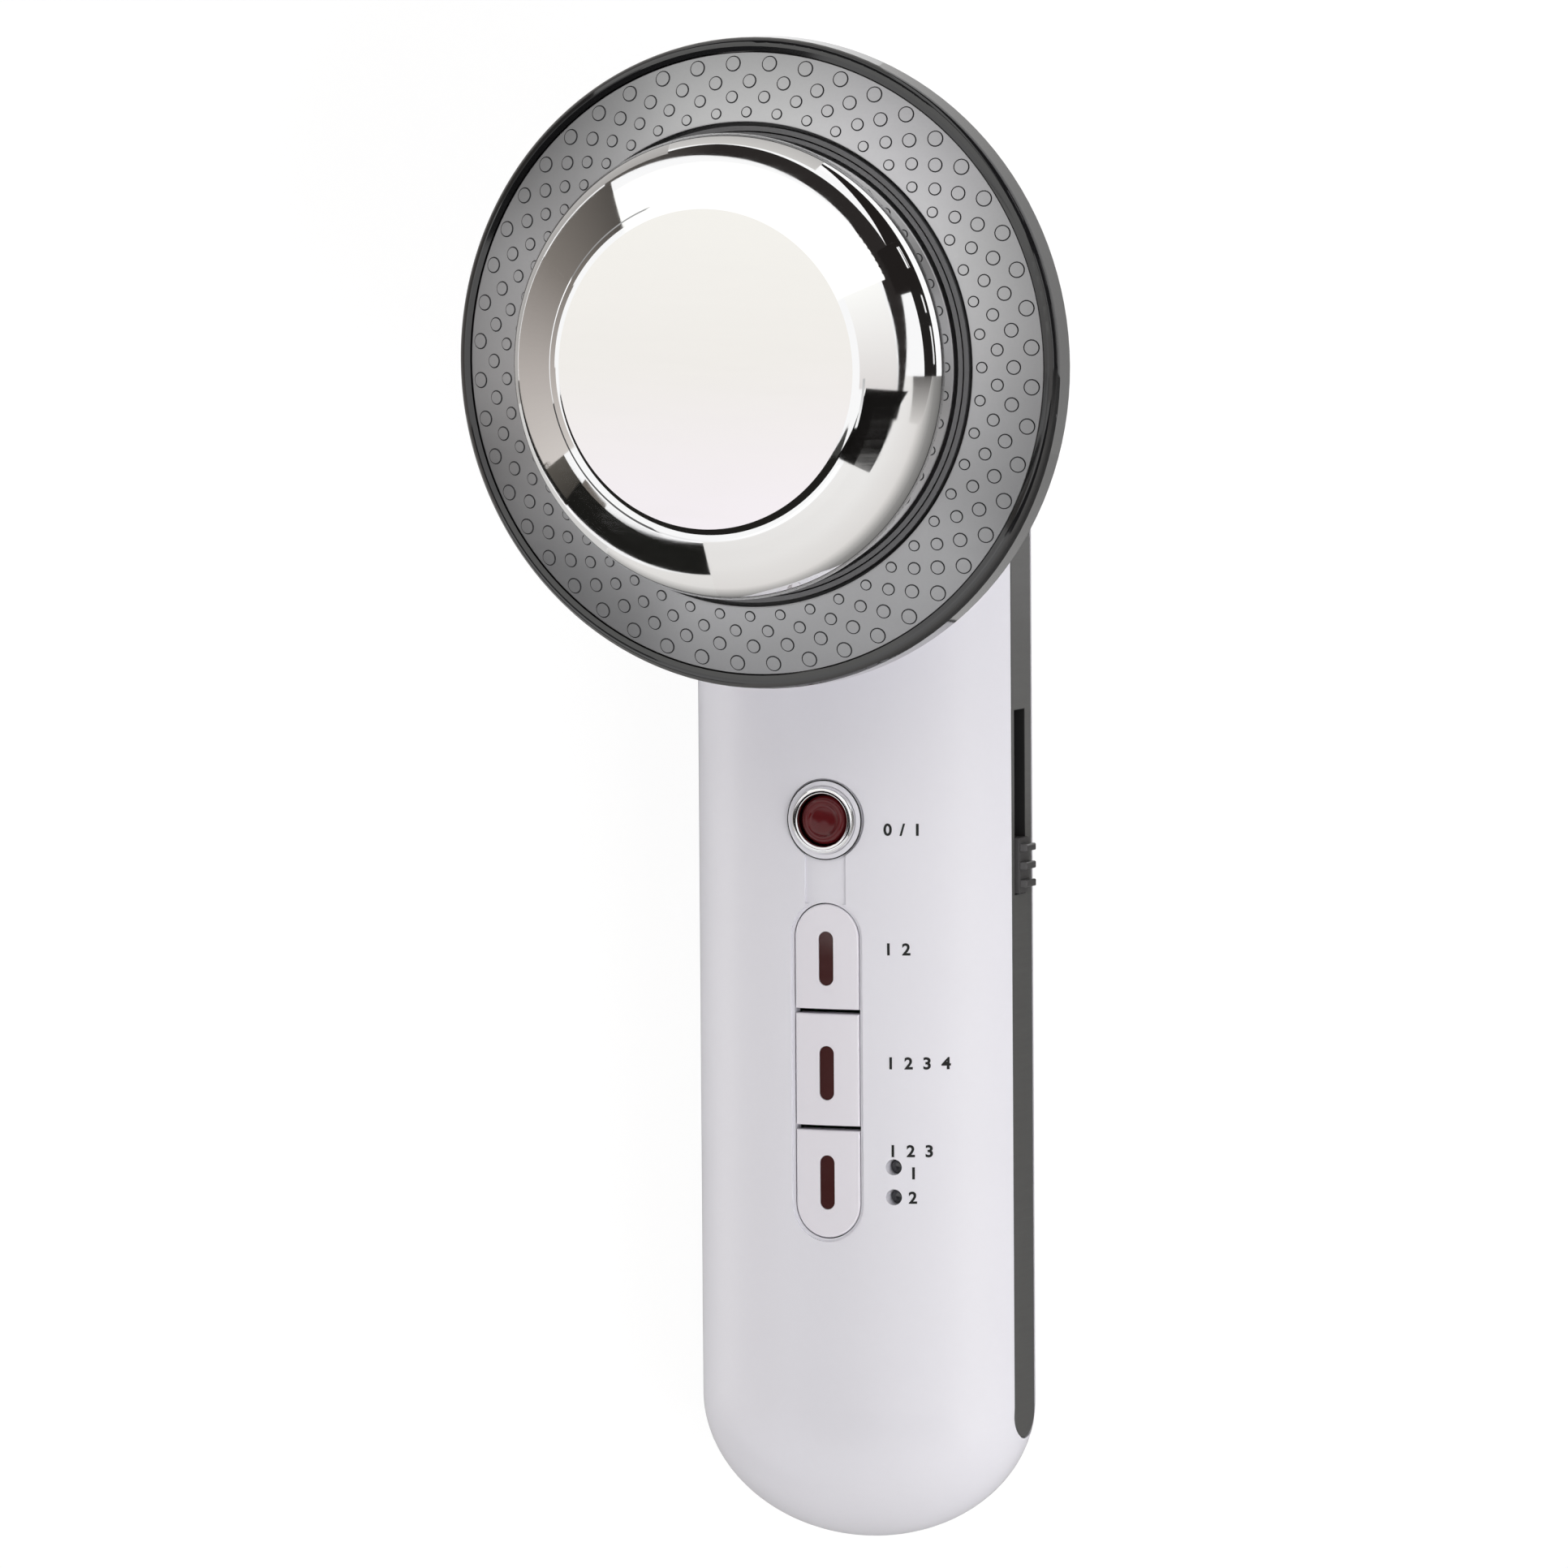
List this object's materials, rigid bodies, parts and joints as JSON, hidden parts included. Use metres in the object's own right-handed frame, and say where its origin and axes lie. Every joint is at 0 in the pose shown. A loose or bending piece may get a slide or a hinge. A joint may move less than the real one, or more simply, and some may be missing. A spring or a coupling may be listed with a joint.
{
  "type": "facial toning device",
  "caption": "Hand-held facial toning device: an oval wand with a power button, a strip of keys and a side slider, carrying a round head with a raised polished steel treatment face.",
  "frame": {"origin": "centre of the bounding box at its base: the middle of the flat back that the device lies on", "axes": "+Z the way the treatment face looks, +Y along the wand from tail to head, +X toward the side with the level slider"},
  "size_m": [0.081, 0.1913, 0.0626],
  "materials": {
    "white_shell": "satin moulded ABS",
    "grey_band": "fine matt texture",
    "dark_knob": "matt",
    "black_plastic": "matt",
    "sheet_metal": "tinned sheet",
    "chrome_trim": "bright chrome plate",
    "red_lens": "dark red translucent",
    "white_key": "satin moulded ABS",
    "red_window": "dark red translucent",
    "lamp_lens": "clear resin",
    "circuit_board": "green solder mask",
    "ferrite": "matt ferrite and tape",
    "sleeve": "printed sleeve",
    "copper_coil": "enamelled wire",
    "sink_metal": "anodised",
    "pin_metal": "nickel plate",
    "smoked_bezel": "smoked, polished",
    "grey_window": "fine satin with raised pips",
    "polished_steel": "mirror polished stainless steel",
    "grey_rubber": "matt",
    "black_rubber": "matt",
    "lamp_package": "white package",
    "ceramic": "fired ceramic with silvered face",
    "wire_red": "PVC",
    "wire_black": "PVC",
    "screw_steel": "zinc plate"
  },
  "bodies": {
    "wand": {"front_shell": "white_shell", "rear_shell": "white_shell", "side_band_right": "grey_band", "side_band_left": "grey_band", "slide_control": "sheet_metal", "power_ring": "chrome_trim", "power_switch": "black_plastic", "key_switches": "black_plastic", "indicator_lamps": "lamp_lens", "main_board": "circuit_board", "transformer": "ferrite", "capacitors": "sleeve", "choke": "copper_coil", "heat_sink": "sink_metal", "dc_jack": "black_plastic", "dc_pin": "pin_metal", "head_cup": "white_shell", "bezel_ring": "smoked_bezel", "window_cover": "grey_window", "treatment_cap": "polished_steel", "cap_gasket": "grey_rubber", "seal_ring": "black_rubber", "lamp_board": "circuit_board", "infrared_lamps": "lamp_package", "transducer": "ceramic", "transducer_leads": "wire_red", "lamp_leads": "wire_black", "case_screws": "screw_steel", "board_screws": "screw_steel", "head_screws": "screw_steel"},
    "power_button": {"power_button": "red_lens", "power_plunger": "black_plastic"},
    "key_1": {"key_1": "white_key", "key_window_1": "red_window", "key_plunger_1": "black_plastic"},
    "key_2": {"key_2": "white_key", "key_window_2": "red_window", "key_plunger_2": "black_plastic"},
    "key_3": {"key_3": "white_key", "key_window_3": "red_window", "key_plunger_3": "black_plastic"},
    "slider": {"slider_knob": "dark_knob", "slide_lever": "black_plastic"}
  },
  "joints": [
    {"name": "power_press", "type": "slide", "parent": "wand", "child": "power_button", "axis": [0, 0, -1], "range_m": [0, 0.0008], "stiffness_N_per_m": 900, "springref_m": -0.0006},
    {"name": "key_1_press", "type": "slide", "parent": "wand", "child": "key_1", "axis": [0, 0, -1], "range_m": [0, 0.0006], "stiffness_N_per_m": 900, "springref_m": -0.0006},
    {"name": "key_2_press", "type": "slide", "parent": "wand", "child": "key_2", "axis": [0, 0, -1], "range_m": [0, 0.0006], "stiffness_N_per_m": 900, "springref_m": -0.0006},
    {"name": "key_3_press", "type": "slide", "parent": "wand", "child": "key_3", "axis": [0, 0, -1], "range_m": [0, 0.0006], "stiffness_N_per_m": 900, "springref_m": -0.0006},
    {"name": "level_slide", "type": "slide", "parent": "wand", "child": "slider", "axis": [0, 1, 0], "range_m": [0, 0.0159]}
  ]
}
